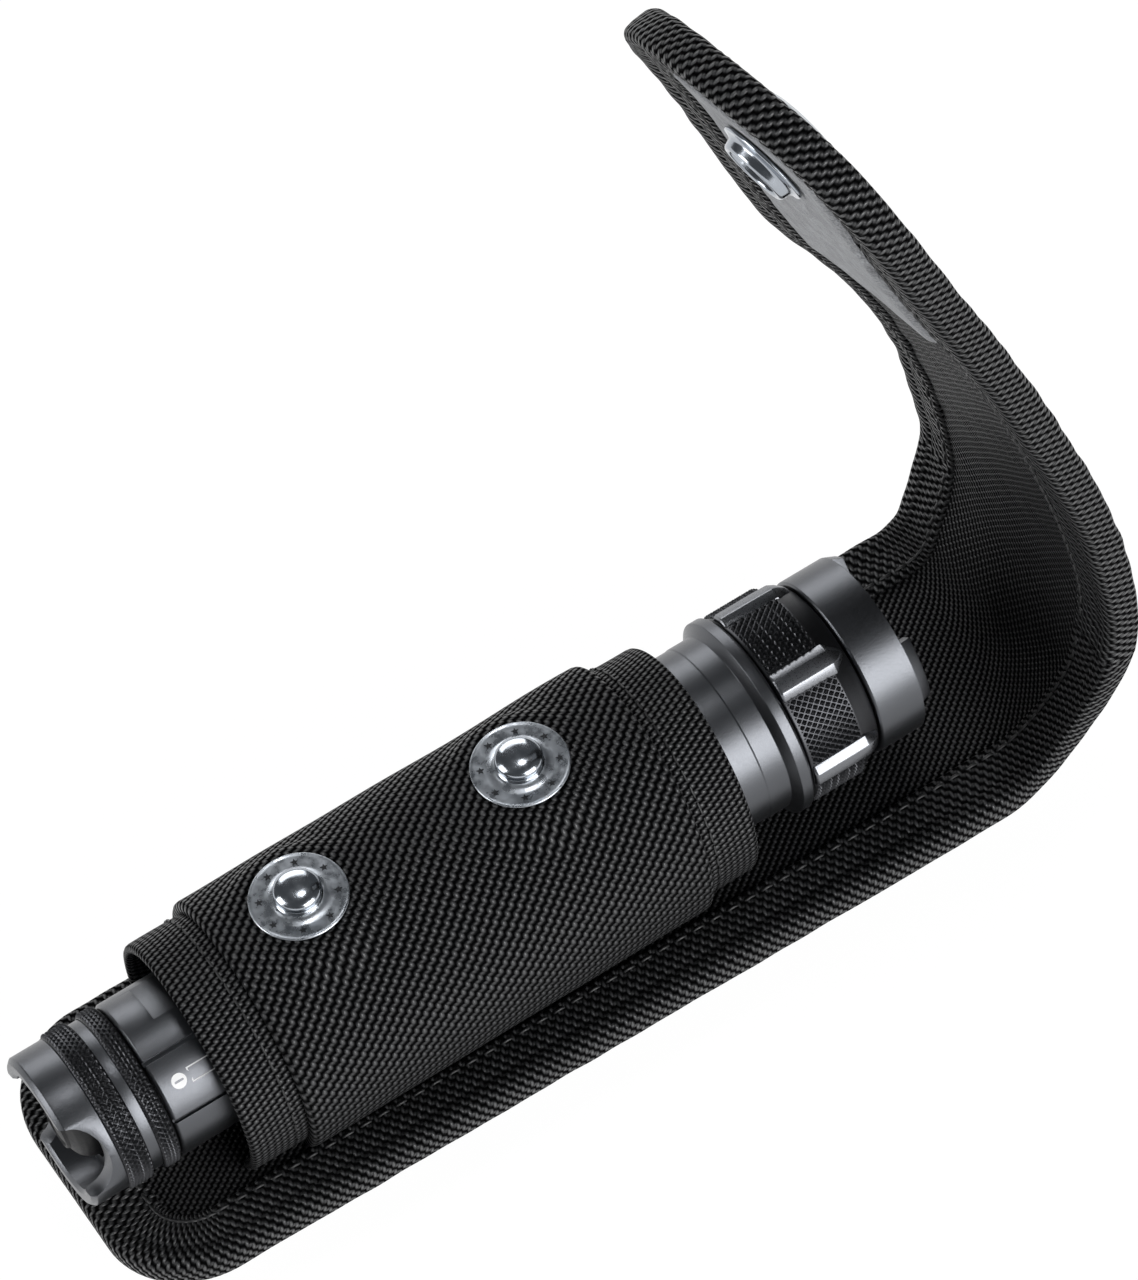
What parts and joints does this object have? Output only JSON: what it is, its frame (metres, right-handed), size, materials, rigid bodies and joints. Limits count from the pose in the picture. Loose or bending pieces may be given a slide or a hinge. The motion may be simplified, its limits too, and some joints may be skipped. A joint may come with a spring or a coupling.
{
  "type": "tactical flashlight in a belt pouch",
  "caption": "Slim metal tactical flashlight with a knurled tailcap and ribbed head, lying in a woven belt pouch whose snap flap stands open.",
  "frame": {"origin": "middle of the belt loop's outer face, on which the object rests", "axes": "+X along the flashlight from its tail switch to its lens, +Z away from the belt loop towards the snap studs, +Y across the pouch"},
  "size_m": [0.1741, 0.052, 0.1726],
  "materials": {
    "anodised": "black anodised over fine bead blast",
    "ribs": "black anodised, polished ribs and knurled pads",
    "bare_aluminium": "machined",
    "nickel": "dark nickel plate, pressed",
    "spring": "gold plated wire",
    "reflector": "vacuum coated",
    "lens": "clear coated glass",
    "rubber": "moulded silicone rubber",
    "board": "circuit board",
    "phosphor": "phosphor under clear silicone",
    "switch_plastic": "moulded",
    "cell_sleeve": "shrink sleeve",
    "nylon": "coarse woven nylon",
    "grosgrain": "ribbed binding tape",
    "hook": "grey hook tape"
  },
  "bodies": {
    "pouch": {"back_panel": "nylon", "back_binding": "grosgrain", "front_panel": "nylon", "lower_band": "grosgrain", "upper_band": "grosgrain", "stud_flange_lower": "nickel", "stud_post_lower": "nickel", "stud_flange_upper": "nickel", "stud_post_upper": "nickel", "stud_washer_lower": "nickel", "stud_washer_upper": "nickel", "belt_loop": "nylon"},
    "flashlight": {"body_tube": "anodised", "tail_seal": "rubber", "head_seal": "rubber", "cell_rear": "cell_sleeve", "cell_front": "cell_sleeve", "driver_spring": "spring", "driver_board": "board", "heat_sink": "bare_aluminium", "led_board": "board", "led_dome": "phosphor", "head_neck": "anodised", "head_shell": "ribs", "bezel_ring": "anodised", "reflector": "reflector", "front_lens": "lens", "lens_seal": "rubber"},
    "tailcap": {"tailcap": "anodised", "boot_flange": "rubber", "switch_ring": "bare_aluminium", "switch_body": "switch_plastic", "switch_board": "board", "tail_spring": "spring"},
    "button": {"switch_boot": "rubber", "switch_plunger": "switch_plastic"},
    "flap_neck": {"flap_neck": "nylon", "neck_binding_left": "grosgrain", "neck_binding_right": "grosgrain"},
    "flap": {"flap_panel": "nylon", "flap_binding": "grosgrain", "hook_patch": "hook", "snap_socket": "nickel", "snap_cap": "nickel"}
  },
  "joints": [
    {"name": "flashlight_slide", "type": "slide", "parent": "pouch", "child": "flashlight", "axis": [1, 0, 0], "range_m": [-0.008, 0.002]},
    {"name": "tailcap_turn", "type": "hinge", "parent": "flashlight", "child": "tailcap", "pos_m": [-0.062, 0, 0.0286], "axis": [-1, 0, 0], "range_deg": [0, 180]},
    {"name": "switch_press", "type": "slide", "parent": "tailcap", "child": "button", "axis": [1, 0, 0], "range_m": [0, 0.0012], "stiffness_N_per_m": 900},
    {"name": "flap_root", "type": "hinge", "parent": "pouch", "child": "flap_neck", "pos_m": [0.0943, 0, 0.0103], "axis": [0, 1, 0], "range_deg": [-30.1, 44]},
    {"name": "flap_bend", "type": "hinge", "parent": "flap_neck", "child": "flap", "pos_m": [0.09893, 0, 0.05457], "axis": [0, 1, 0], "range_deg": [-37.02, 54.05]}
  ],
  "couplings": [
    {"joint": "flap_bend", "follows": "flap_root", "ratio": 1.225}
  ]
}
